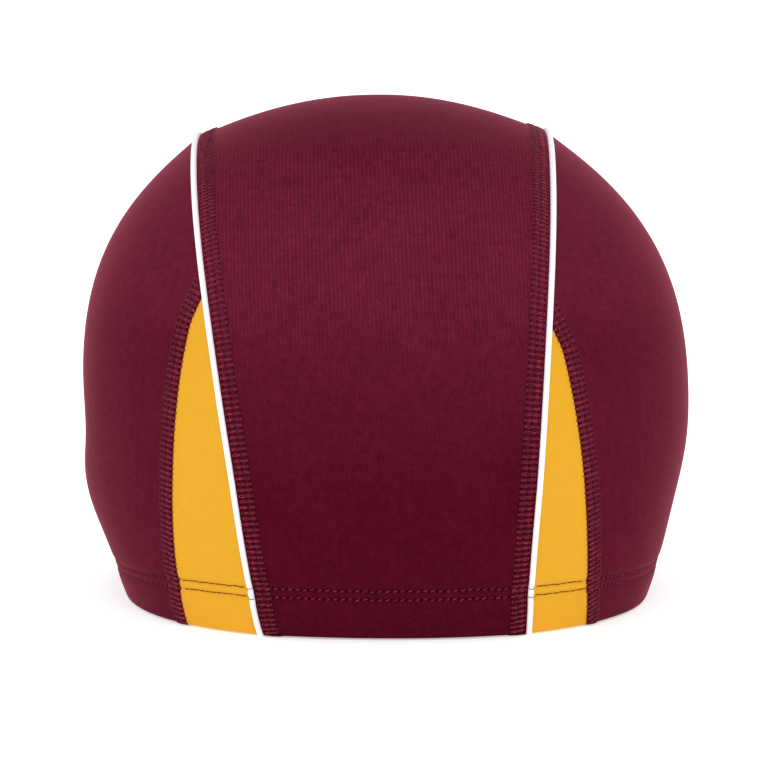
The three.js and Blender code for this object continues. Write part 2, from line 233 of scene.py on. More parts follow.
# Heights of rows in the hem, distances of columns from an edge across its band, and rows of a side panel as
# shares of the way from the hem to the gold's tip.
HEM_LEVELS = np.concatenate([[0, 0.12, 0.3, 0.55, 0.9, 1.3, 1.8], np.arange(2.3, 16.6, 0.4)]) * MM
BAND_STATIONS = np.array([0, 0.2, 0.45, 0.7, 0.95, 1.2, 1.6, 2.2, 2.8, 3.4, 4, 4.6, 5.1, 5.4, 5.8, 6.5]) * MM
SIDE_ROWS = np.concatenate([np.linspace(0, 0.95, 76), 1 - np.geomspace(0.044, 0.0012, 12), [1]])
LEVEL_STEP = 1.1 * MM
CROWN_ROWS = 240
CENTRE_COLUMNS, SIDE_COLUMNS, WEDGE_COLUMNS = 52, 108, 22
WEDGE_ROWS = 74
WEDGE_TOP = 0.992  # the gold's last row, just short of its tip
NARROWEST = 0.05 * MM  # least width of a gold row

# Camera and lights. Each softbox: name, place, width and height in metres, and watts.
CAMERA_DISTANCE = 1.2
CAMERA_ELEVATION = math.radians(6.6)
CAMERA_TARGET = Vector((-0.5, 0, 56.1)) * MM
CAMERA_LENS = 203.6
SENSOR = 36.0
CLIP_END = 200
LIGHTS_AIM = (0, 0, 0.07)
SOFTBOXES = (
    ("front_softbox", (0, -1.4, 1.0), 1.2, 1.0, 3),
    ("left_softbox", (-1.4, -0.1, 0.5), 0.8, 1.0, 2),
    ("right_softbox", (1.4, -0.1, 0.5), 0.8, 1.0, 2),
)
SKY_STRENGTH = 0.95
FLOOR_GLOW = 0.45  # the floor glows a little, like a light table
FLOOR_HALF = 60  # in metres, so that it runs out of sight
FLOOR_DROP = 0.2 * MM


def linear(hex_colour):
    """The linear colour of an sRGB hex value."""
    parts = [int(hex_colour[i:i + 2], 16) / 255 for i in (1, 3, 5)]
    return tuple(c / 12.92 if c <= 0.04045 else ((c + 0.055) / 1.055) ** 2.4 for c in parts)


def length(name, description, millimetres):
    """A length that a user can change, with its default in millimetres."""
    return FloatProperty(
        name=name, description=description, default=millimetres * MM, unit="LENGTH", precision=5
    )


def colour(name, description, hex_colour):
    """A colour that a user can change, with its default as sRGB hex."""
    return FloatVectorProperty(
        name=name, description=description, default=linear(hex_colour), subtype="COLOR", size=3, min=0, max=1
    )


class CapForm(bpy.types.PropertyGroup):
    """The cap's outside form, before stitches and folds."""

    width: length("Width", "Widest across, outside", 166)
    length: length("Length", "Front to back, outside", (CAD_HIGH.y - CAD_LOW.y) / MM)
    height: length("Height", "From the hem's edge to the top of the crown", (CAD_HIGH.z - CAD_LOW.z) / MM)
    rim_width: length("Rim width", "Across the open rim, outside", 144)
    rim_length: length("Rim length", "Front to back at the open rim, outside", 176)
    lean: length("Crown lean", "How far the top of the crown sits off the middle", -3.3)
    centre_at_hem: length("Centre panel at hem", "From seam to seam at the hem", 68.6)
    centre_at_crown: length("Centre panel at crown", "From seam to seam at the crown", 97.1)
    wedge_width: length("Wedge width", "Gold wedge at the hem, seen from the end", 17)
    wedge_height: length("Wedge height", "Gold wedge, from hem to tip", 85.5)


class CapSewing(bpy.types.PropertyGroup):
    """Fabric, piping, hem and stitches."""

    fabric: length("Fabric", "Thickness of one layer", 1.2)
    hem: length("Hem", "Height of the turned-up layer", 12.5)
    piping: length("Piping", "Diameter of the piping", 1.6)
    piping_rise: length("Piping rise", "The piping's middle above the fabric", 0.35)
    band: length("Seam band", "Width of a coverstitched seam", 4.2)
    band_rise: length("Band rise", "How far a seam band stands up", 0.45)
    seam_pitch: length("Seam stitch", "Length of one coverstitch", 1.5)
    needle_gap: length("Needle gap", "From one row of coverstitch holes to the next", 1.8)
    hem_pitch: length("Hem stitch", "Length of one hem stitch", 1.95)
    hem_row_low: length("Lower hem row", "Height of the lower row of hem stitches", 10.8)
    hem_row_high: length("Upper hem row", "Height of the upper row of hem stitches", 13.2)
    rib: length("Rib", "Distance from one rib that shows to the next", 1.05)


class CapColours(bpy.types.PropertyGroup):
    """Dyed colours, with the burgundy in a darker and a lighter copy for painted light and shade."""

    # The burgundy with painted shade, and a lighter copy with painted light; the panels mix the two by
    # height.
    burgundy: colour("Burgundy", "Main fabric where it is slack", "#4c0b1c")
    burgundy_stretched: colour("Stretched burgundy", "Main fabric where it is stretched", "#60192d")
    gold: colour("Gold", "Wedges", "#d89f2a")
    white: colour("White", "Piping", "#e8e4ec")
    thread_red: colour("Red thread", "Coverstitch next to the seam", "#842d3b")
    thread_deep: colour("Deep thread", "Outer coverstitch, and the hem at the sides", "#71283c")
    thread_pale: colour("Pale thread", "Hem stitches on the centre panel", "#7a3046")
    thread_dark: colour("Dark thread", "Hem stitches over the gold", "#6a2412")
    floor: colour("Floor", "Floor under and behind the cap", "#fbfbfb")


def form():
    return bpy.context.scene.cap_form


def sewing():
    return bpy.context.scene.cap_sewing


def colours():
    return bpy.context.scene.cap_colours


# The smooth form. Points are arrays whose last axis is x, y, z.

def lerp(a, b, share):
    return a + (b - a) * share


def ease(low, high, value):
    """0 below low, 1 above high, and smooth between."""
    share = np.clip((value - low) / (high - low), 0, 1)
    return share * share * (3 - 2 * share)


def points(x, y, z):
    """An array of points from numbers or arrays that fit together."""
    return np.stack(np.broadcast_arrays(x, y, z), -1).astype(float)


def unit(vectors):
    return vectors / np.linalg.norm(vectors, axis=-1, keepdims=True)


def half_size(profile, z):
    """Half the form's width or length at a height."""
    share = np.minimum(z / form().height, 1)
    up = np.clip((share - profile.widest) / (1 - profile.widest), 0, 1)
    down = np.maximum((profile.widest - share) / profile.widest, 0)
    above = profile.size / 2 * np.sqrt(np.maximum(1 - up ** profile.fullness, FLATTEST))
    return np.where(share > profile.widest, above, lerp(profile.size, profile.rim, down ** 2) / 2)


def half_width(z):
    return half_size(Profile(form().width, form().rim_width, *WIDTH_SHAPE), z)


def half_length(z, end):
    front = half_size(Profile(form().length, form().rim_length, *FRONT_SHAPE), z)
    back = half_size(Profile(form().length, form().rim_length, *BACK_SHAPE), z)
    return np.where(end < 0, front, back)


def outside(p):
    """Below 0 inside the form, 0 on it and above 0 outside."""
    x, y, z = np.moveaxis(p, -1, 0)
    across = np.abs(x) / half_width(z)
    along = np.abs(y) / half_length(z, y)
    return across ** SQUARENESS + along ** SQUARENESS - 1


def gradient(p):
    steps = SLOPE_STEP * np.eye(3)
    return np.stack([outside(p + step) - outside(p - step) for step in steps], -1) / (2 * SLOPE_STEP)


def normals(p):
    """The form's outward normals, turned level towards the rim."""
    slope = gradient(p)
    slope[..., 2] *= ease(-RIM_LEVEL / 2, RIM_LEVEL, p[..., 2])
    return unit(slope)


def settled(p):
    """Points near the form, brought onto it."""
    for _ in range(SETTLE_ROUNDS):
        slope = gradient(p)
        p = p - slope * (outside(p) / np.sum(slope ** 2, -1))[..., None]
    return p


def level_point(x, z, end):
    """On the form at a height and a sideways place, at one end."""
    across = np.minimum(np.abs(x) / half_width(z), 1)
    y = end * half_length(z, end) * (1 - across ** SQUARENESS) ** (1 / SQUARENESS)
    return points(x, y, z)


def ring_point(turn, z):
    """On the form at a height and an angle round the upright axis, from +X towards +Y."""
    across = np.abs(np.cos(turn) / half_width(z))
    along = np.abs(np.sin(turn) / half_length(z, np.sin(turn)))
    radius = (across ** SQUARENESS + along ** SQUARENESS) ** (-1 / SQUARENESS)
    return points(radius * np.cos(turn), radius * np.sin(turn), z)


def middle_height():
    """The height of the form's widest level."""
    return WIDTH_SHAPE[0] * form().height


def over_point(angle, x_at):
    """On the form at an angle over the crown, from front to back, where x may follow z."""
    near = np.zeros(np.broadcast_shapes(np.shape(angle), np.shape(x_at(0.0))))
    far = near + form().length + form().height

    def at(reach):
        z = middle_height() + reach * np.sin(angle)
        return points(x_at(z), -reach * np.cos(angle), z)

    for _ in range(HALVINGS):
        half = (near + far) / 2
        within = outside(at(half)) < 0
        near = np.where(within, half, near)
        far = np.where(within, far, half)
    return at(near)


def angle_over(p):
    """Angles over the crown, from the front, of points on the form."""
    return np.arctan2(p[..., 2] - middle_height(), -p[..., 1])


def seam_x(side, z):
    """The long seam's sideways place at a height."""
    spread = (np.clip(z, 0, None) / form().height) ** side.bow
    return side.sign * lerp(side.hem * form().centre_at_hem, side.crown * form().centre_at_crown, spread)


def sideways(p):
    """How much of x one step along the form covers, sideways."""
    return np.sqrt(1 - normals(p)[..., 0] ** 2)


def seam_point(side, z, end):
    """On the long seam at a height, at one end."""
    return level_point(seam_x(side, z), z, end)


def beside_seam(side, p, distance):
    """The sideways place of a line beside the long seam, away from the centre panel if above 0."""
    return p[..., 0] + side.sign * distance * sideways(p)


def wedge_tip(side):
    return side.wedge_height * form().wedge_height


def wedge_edge_x(side, z, end, distance):
    """The gold wedge's outer edge at a height, or a line beside it."""
    tip = wedge_tip(side)

    def spread(share):
        shape = (1 - np.clip(share, 0, 1) ** side.taper) ** WEDGE_ROUND
        return side.wedge_width * form().wedge_width * shape

    slant = (spread(z / tip - SLANT_STEP) - spread(z / tip)) / (SLANT_STEP * tip)
    start = beside_seam(side, seam_point(side, z, end), PANEL_EDGE * (1 - ease(TIP_SHARE, 1, z / tip)))
    edge = level_point(start + side.sign * spread(z / tip), z, end)
    return edge[..., 0] + side.sign * distance * np.hypot(sideways(edge), np.minimum(slant, STEEPEST_SLANT))


# Lines on the form, and what lies near them.

def travelled(p, axis=0):
    """How far each point of a grid lies along its line, from where that starts."""
    steps = np.linalg.norm(np.diff(p, axis=axis), axis=-1)
    return np.insert(np.cumsum(steps, axis=axis), 0, 0, axis=axis)


def between(at, along, values):
    """Vectors at places along a line, where they are known at other places."""
    return np.stack([np.interp(at, along, values[:, i]) for i in range(3)], -1)


def resampled(line, step):
    """A line of points at even steps, and the distance of each along it."""
    along = travelled(line)
    at = np.linspace(0, along[-1], int(round(along[-1] / step)) + 1)
    return between(at, along, line), at


def seam_line(side):
    """The long seam's middle line from the front hem over the crown to the back hem."""
    levels = np.linspace(0, CROWN_START * form().height, LINE_LEVELS)
    front, back = (seam_point(side, levels, end) for end in (FRONT, BACK))
    angles = np.linspace(angle_over(front[-1]), angle_over(back[-1]), OVER_CROWN)[1:-1]
    crown = over_point(angles, lambda z: seam_x(side, z))
    return np.concatenate([front, crown, back[::-1]])


def gold_line(side, end):
    """The gold wedge's outer edge from the hem up, running straight on past its tip."""
    levels = np.linspace(0, TAIL_START * wedge_tip(side), LINE_LEVELS)
    edge = level_point(wedge_edge_x(side, levels, end, 0), levels, end)
    ahead = unit(edge[-1] - edge[-TAIL_AIM]) * np.linspace(0, TAIL, TAIL_STEPS)[1:, None]
    return np.concatenate([edge, settled(edge[-1] + ahead)])


class Lines:
    """Lines on the form, for finding the nearest one."""

    def __init__(self, lines):
        parts = [resampled(line, LINE_STEP) for line in lines]
        dots = np.concatenate([p for p, _ in parts])
        self.along = np.concatenate([along for _, along in parts])
        self.tree = KDTree(len(dots))
        for i, dot in enumerate(dots):
            self.tree.insert(dot, i)
        self.tree.balance()

    def nearest(self, p):
        """How far the nearest line is from each point, and how far along it that is."""
        found = [self.tree.find(q)[1:] for q in p.reshape(-1, 3)]
        ids, distances = zip(*found)
        return np.reshape(distances, p.shape[:-1]), self.along[list(ids)].reshape(p.shape[:-1])


class Track:
    """A line on the form with the direction across it, for laying stitches beside it."""

    def __init__(self, line, sign):
        self.points, self.along = resampled(line, TRACK_STEP)
        across = np.cross(gradient(self.points), np.gradient(self.points, axis=0))
        self.across = unit(across) * np.sign(across[:, :1]) * sign

    def beside(self, along, distance):
        """Points on the form at places along the line and at distances from it."""
        p, across = (between(along, self.along, values) for values in (self.points, self.across))
        return settled(p + across * distance[..., None])


def hem_ring():
    """Angles round the hem from the left front seam, and the number of stitches up to each."""
    foot = sewing().hem
    start = seam_point(SIDES[0], foot, FRONT)
    turns = math.atan2(start[1], start[0]) + np.linspace(0, 2 * math.pi, RING_STEPS)
    along = travelled(ring_point(turns, foot))
    return turns, along / along[-1] * round(along[-1] / sewing().hem_pitch)


# How the fabric departs from the smooth form, and where its stitches lie.

Dress = namedtuple("Dress", "rise lift from_seam on_centre seam_stitch hem_stitch on_gold")


def relief(p, from_seam):
    """How far the fabric stands off the smooth form: creases, swells and uneven stretch."""
    share = np.clip(p[..., 2] / form().height, 0, 1)
    rise = CREASE_RISE * lerp(CREASE_AT_HEM, 1, share) * np.exp(-from_seam / CREASE_REACH)
    for swell in SWELLS:
        peak = np.array([swell["across"] * form().width / 2, 0, swell["up"] * form().height])
        away = np.linalg.norm((p - peak) / (1, SWELL_STRETCH, 1), axis=-1)
        rise += SWELL_RISE * swell["rise"] * np.exp(-((away / (swell["radius"] * form().height)) ** 2))
    x, y, z = np.moveaxis(p / WAVE_LENGTHS, -1, 0)
    rise += WAVE_RISE * np.sin(x + WAVE_SWING * np.sin(p[..., 2] / SWING_LENGTH)) * np.sin(y + z)
    x, y, z = np.moveaxis(p / RIPPLE_LENGTHS, -1, 0)
    rise += RIPPLE_RISE * np.sin(x + y) * np.sin(z + RIPPLE_START) * ease(RIPPLE_TOP, 0, share)
    return rise


def rolled(z):
    """How far the fold at the hem's lower edge turns in."""
    return ROLL - np.sqrt(ROLL ** 2 - np.clip(ROLL - z, 0, ROLL) ** 2)


def hem_sag(p):
    """How much lower the stitch rows run, most at the cap's two sides."""
    return HEM_SAG * np.clip(np.abs(p[..., 0]) / (form().rim_width / 2), 0, 1) ** HEM_SAG_CURVE


def hem_shape(z, sag=0):
    """Two stitched grooves in the hem, which is drawn in round them, and the fold at its lower edge."""
    rows = (sewing().hem_row_low, sewing().hem_row_high)
    rise = sum(-GROOVE_DEPTH * np.exp(-(((z + sag - row) / GROOVE_REACH) ** 2)) for row in rows)
    return rise - DRAWN_IN * np.exp(-(((z + sag - sum(rows) / 2) / DRAWN_REACH) ** 2)) - rolled(z)


def wall(z):
    """Thickness of the fabric at a height: two layers in the hem."""
    fold = 1 - np.clip((z - sewing().hem) / HEM_EDGE, 0, 1)
    return sewing().fabric * (1 + fold)


def near_rows(row, last):
    """1 between the first row of needle holes and the last one, and 0 well away from them."""
    return ease(-HOLES_END, -HOLES_FADE, row) * ease(last + HOLES_END, last + HOLES_FADE, row)


def dress(p, lines):
    """What the fabric is like at points of the form: its rise, its lift off the table and its stitches."""
    z = p[..., 2]
    end = np.where(p[..., 1] < 0, FRONT, BACK)
    from_seam, seam_along = lines.seams.nearest(p)
    from_gold, gold_along = lines.golds.nearest(p)
    centre = np.all([side.sign * (p[..., 0] - seam_x(side, z)) < 0 for side in SIDES], axis=0)
    beyond = np.any([side.sign * (p[..., 0] - wedge_edge_x(side, z, end, 0)) > 0 for side in SIDES], axis=0)
    from_band = np.where(centre, from_seam - PANEL_EDGE, np.where(beyond, from_gold - GOLD_START, -NO_BAND))
    width = sewing().band
    band = ease(*BAND_RISES, from_band + np.where(centre, UNDER_PIPING, 0))
    band *= 1 - ease(*BAND_FALLS, from_band - width)
    tuck = 1 - ease(*TUCK_SPAN, from_seam / (sewing().piping / 2))
    band_rise = sewing().band_rise * (1 - BAND_CROWN_LOSS * ease(BAND_CROWN_START, 1, z / form().height))
    sag = hem_sag(p)
    rise = relief(p, from_seam) + hem_shape(z, sag) + band_rise * band - TUCK * tuck
    thick_end = np.exp(-(((from_band - width / 2) / THICK_END_REACH) ** 2))
    lift = RIM_CLEARS * (1 - thick_end) * (1 - ease(0, RIM_SETTLES, z))
    along = np.where(centre, seam_along, gold_along) / sewing().seam_pitch
    row = (from_band - FIRST_NEEDLE) / sewing().needle_gap
    seam_stitch = points(along, row, near_rows(row, 2))
    turns, stitches = hem_ring()
    turn = turns[0] + np.mod(np.arctan2(p[..., 1], p[..., 0]) - turns[0], 2 * math.pi)
    row = (z + sag - sewing().hem_row_low) / (sewing().hem_row_high - sewing().hem_row_low)
    hem_stitch = points(np.interp(turn, turns, stitches), row, near_rows(row, 1) * (1 - band))
    return Dress(rise, lift, from_seam, centre, seam_stitch, hem_stitch, ~centre & ~beyond)


CapLines = namedtuple("CapLines", "seams golds")


def cap_lines():
    """The two long seams, and the outer edges of the four wedges."""
    golds = [gold_line(side, end) for side in SIDES for _, end in ENDS]
    return CapLines(Lines([seam_line(side) for side in SIDES]), Lines(golds))


def lean(z):
    """The crown leans a little to one side."""
    up = (z / form().height - LEAN_START) / (1 - LEAN_START)
    return form().lean * np.clip(up, 0, 1) ** LEAN_BOW


def placed(p, rise, lift):
    """Points of the form, moved out along its normals and up, with the crown's lean."""
    made = p + normals(p) * rise[..., None]
    made[..., 0] += lean(made[..., 2]) + FORM_SHIFT
    made[..., 2] = np.maximum(made[..., 2] + lift, 0)
    return made


# Panels: a grid of form points for each, then the outer and inner layer.

def spread_stations(curve, stations):
    """The place on each row of every station, and its distance from the row's start and end."""
    u = np.linspace(0, 1, CURVE_STEPS + 1)[None, :]
    along = travelled(curve(u), axis=1)
    wanted = np.array([stations(row[-1]) for row in along])
    places = np.array([np.interp(w, row, u[0]) for w, row in zip(wanted, along)])
    return places, wanted, along[:, -1:] - wanted


def banded_stations(between):
    """Close stations across a band at each end of a row, with even ones between."""

    def stations(total):
        middle = np.linspace(BAND_STATIONS[-1], total - BAND_STATIONS[-1], between + 2)[1:-1]
        return np.concatenate([BAND_STATIONS, middle, (total - BAND_STATIONS)[::-1]])

    return stations


def centre_grid():
    """The centre panel's rows: level ones up the front, then over the crown, and level down the back."""
    above_hem = np.arange(HEM_LEVELS[-1] + MM, CROWN_START * form().height, LEVEL_STEP)
    levels = np.concatenate([HEM_LEVELS, above_hem])
    left, right = SIDES

    def edges(z, end):
        return [beside_seam(side, seam_point(side, z, end), -EDGE_IN) for side in SIDES]

    def level_rows(u, end):
        x_left, x_right = edges(levels, end)
        return level_point(lerp(x_left[:, None], x_right[:, None], u), levels[:, None], end)

    share = np.linspace(0, 1, CROWN_ROWS + 2)[1:-1]

    def crown_edge(side):
        ends = [angle_over(seam_point(side, levels[-1], end)) for end in (FRONT, BACK)]
        p = over_point(lerp(ends[0], ends[1], share), lambda z: seam_x(side, z))
        return beside_seam(side, p, -EDGE_IN)

    crown_left, crown_right = crown_edge(left), crown_edge(right)

    def crown_rows(u):
        top = levels[-1]
        ends = []
        for end in (FRONT, BACK):
            x_left, x_right = edges(top, end)
            ends.append(angle_over(level_point(lerp(x_left, x_right, u), top, end)))
        x = lerp(crown_left[:, None], crown_right[:, None], u)
        return over_point(lerp(ends[0], ends[1], share[:, None]), lambda z: x + 0 * z)

    def curve(u):
        if len(u) == 1:
            u = np.repeat(u, 2 * len(levels) + len(share), 0)
        front, crown, back = np.split(u, [len(levels), len(levels) + len(share)])
        rows = (level_rows(front, FRONT), crown_rows(crown), level_rows(back[::-1], BACK)[::-1])
        return np.concatenate(rows)

    places, from_left, from_right = spread_stations(curve, banded_stations(CENTRE_COLUMNS))
    return curve(places), from_left, from_right


def side_grid(side):
    """A side panel's rows, from front edge to back edge: level at the hem, then up to the long seam."""
    tip = wedge_tip(side)
    foot = sewing().hem + HEM_EDGE
    levels = np.concatenate([HEM_LEVELS[HEM_LEVELS < foot], lerp(foot, tip, SIDE_ROWS)])
    rise = np.clip((levels - foot) / (tip - foot), 0, 1)[:, None]

    def unrolled(p):
        return np.arctan2(p[..., 1], np.abs(p[..., 0])), p[..., 2]

    edge = [
        unrolled(level_point(wedge_edge_x(side, levels, end, EDGE_IN), levels, end))
        for end in (FRONT, BACK)
    ]
    corners = [seam_point(side, tip, end) for end in (FRONT, BACK)]
    angles = np.linspace(angle_over(corners[0]), angle_over(corners[1]), CREST_STEPS)
    seam = over_point(angles, lambda z: seam_x(side, z))
    x = beside_seam(side, seam, EDGE_IN)
    crest_turn, crest_z = unrolled(over_point(angles, lambda z: x + 0 * z))

    def curve(u):
        turn = lerp(edge[0][0][:, None], edge[1][0][:, None], u)
        z = lerp(edge[0][1][:, None], edge[1][1][:, None], u)
        at = np.linspace(0, 1, len(angles))
        turn = turn + rise * (np.interp(u, at, crest_turn) - lerp(crest_turn[0], crest_turn[-1], u))
        z = z + rise * (np.interp(u, at, crest_z) - lerp(crest_z[0], crest_z[-1], u))
        return ring_point(turn, z) * (side.sign, 1, 1)

    places, from_front, from_back = spread_stations(curve, banded_stations(SIDE_COLUMNS))
    return curve(places), from_front, from_back


def wedge_grid(side, end):
    """A gold wedge's level rows, from the piping to the side panel."""
    above_hem = np.linspace(HEM_LEVELS[-1] + MM, WEDGE_TOP * wedge_tip(side), WEDGE_ROWS)
    levels = np.concatenate([HEM_LEVELS, above_hem])
    start = beside_seam(side, seam_point(side, levels, end), EDGE_IN)[:, None]
    stop = wedge_edge_x(side, levels, end, -EDGE_IN)[:, None]
    stop = start + side.sign * np.maximum(side.sign * (stop - start), NARROWEST)

    def curve(u):
        return level_point(lerp(start, stop, u), levels[:, None], end)

    def stations(total):
        return total * (1 - np.cos(np.linspace(0, math.pi, WEDGE_COLUMNS))) / 2

    places, from_seam, from_edge = spread_stations(curve, stations)
    return curve(places), from_seam, from_edge


# Meshes.

def quads(ids):
    """The faces of a grid of point numbers."""
    return np.stack([ids[:-1, :-1], ids[:-1, 1:], ids[1:, 1:], ids[1:, :-1]], -1).reshape(-1, 4)


def signed_volume(co, faces):
    """Above 0 where a closed mesh's faces point outward."""
    a, b, c, d = (co[faces[:, i]] for i in range(4))
    return np.einsum("ij,ij->", a, np.cross(b, c)) + np.einsum("ij,ij->", a, np.cross(c, d))


def make_object(name, co, faces, material, fields=None):
    """A smooth mesh object that rides on the cap, with named vector fields on its points."""
    mesh = bpy.data.meshes.new(name)
    mesh.from_pydata(co.tolist(), [], faces)
    for field, values in (fields or {}).items():
        made = mesh.attributes.new(field, "FLOAT_VECTOR", "POINT")
        made.data.foreach_set("vector", values.astype(np.float32).ravel())
    mesh.polygons.foreach_set("use_smooth", [True] * len(mesh.polygons))
    mesh.materials.append(material)
    mesh.update()
    piece = bpy.data.objects.new(name, mesh)
    bpy.context.scene.collection.objects.link(piece)
    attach(piece, "root")
    return piece


def wall_object(name, outer, inner, material, fields):
    """A closed wall between two grids of points."""
    count = outer.shape[0] * outer.shape[1]
    ids = np.arange(count).reshape(outer.shape[:2])
    rim = np.concatenate([ids[0, :-1], ids[:-1, -1], ids[-1, :0:-1], ids[:0:-1, 0]])
    after = np.roll(rim, -1)
    sides = np.stack([after, rim, rim + count, after + count], -1)
    faces = np.concatenate([quads(ids), quads(ids + count)[:, ::-1], sides])
    co = np.concatenate([outer.reshape(-1, 3), inner.reshape(-1, 3)])
    if signed_volume(co, faces) < 0:
        faces = faces[:, ::-1]
    doubled = {name: np.concatenate([v.reshape(-1, 3)] * 2) for name, v in fields.items()}
    return make_object(name, co, faces.tolist(), material, doubled)


def rings(lines, first, second, girth, sides):
    """Rings of points round lines, turned from one direction towards another, and closed tubes' faces."""
    turn = 2 * math.pi * np.arange(sides) / sides
    ring = np.cos(turn)[:, None] * first[..., None, :] + np.sin(turn)[:, None] * second[..., None, :]
    co = lines[..., None, :] + ring * girth[:, None, None]
    ids = np.arange(co.size // 3).reshape(co.shape[:-1])
    ahead = np.roll(ids, -1, axis=2)
    body = np.stack([ids[:, :-1], ids[:, 1:], ahead[:, 1:], ahead[:, :-1]], -1).reshape(-1, 4)
    return co, [*body.tolist(), *ids[:, 0].tolist(), *ids[:, -1, ::-1].tolist()]


def threads(name, lines, out, radius, material, sides=5):
    """Many short threads as one mesh. lines and out are arrays of thread, point and x, y, z."""
    along = unit(np.gradient(lines, axis=1))
    across = unit(np.cross(along, out))
    girth = np.full(lines.shape[1], radius)
    girth[[0, -1]] *= THREAD_TAPER
    co, faces = rings(lines, across, np.cross(across, along), girth, sides)
    return make_object(name, co.reshape(-1, 3), faces, material)


# Materials.

def add_node(tree, kind, links=None, **settings):
    """Adds a node, sets its properties and inputs, and returns it. An input given a socket is linked to it,
    and one given a node is linked to that node's first output."""
    made = tree.nodes.new(f"ShaderNode{kind}")
    for key, value in settings.items():
        setattr(made, key, value)
    for key, value in (links or {}).items():
        if isinstance(value, bpy.types.Node):
            value = value.outputs[0]
        if isinstance(value, bpy.types.NodeSocket):
            tree.links.new(value, made.inputs[key])
        else:
            made.inputs[key].default_value = value
    return made


def new_material(name):
    """An empty node material and its tree."""
    material = bpy.data.materials.new(name)
    material.use_nodes = True
    material.node_tree.nodes.clear()
    return material, material.node_tree


def needle_holes(tree, field):
    """1 in a needle hole and 0 away from it. The field counts stitches along and rows across, and says how
    much it holds there."""
    place = add_node(tree, "Attribute", attribute_name=field).outputs["Vector"]
    moved = add_node(tree, "VectorMath", {0: place, 1: (0.5, 0.5, 0)}, operation="ADD")
    cell = add_node(tree, "VectorMath", {0: moved}, operation="FRACTION")
    centred = add_node(tree, "VectorMath", {0: cell, 1: (0.5, 0.5, 0)}, operation="SUBTRACT")
    flat = add_node(tree, "VectorMath", {0: centred, 1: (1, 1, 0)}, operation="MULTIPLY")
    away = add_node(tree, "VectorMath", {0: flat}, operation="LENGTH")
    radii = {"From Min": HOLE_DARK, "From Max": HOLE_END, "To Min": 1, "To Max": 0}
    hole = add_node(
        tree, "MapRange", {"Value": away.outputs["Value"], **radii}, interpolation_type="SMOOTHSTEP"
    )
    holds = add_node(tree, "SeparateXYZ", {0: place}).outputs["Z"]
    return add_node(tree, "Math", {0: hole, 1: holds}, operation="MULTIPLY")


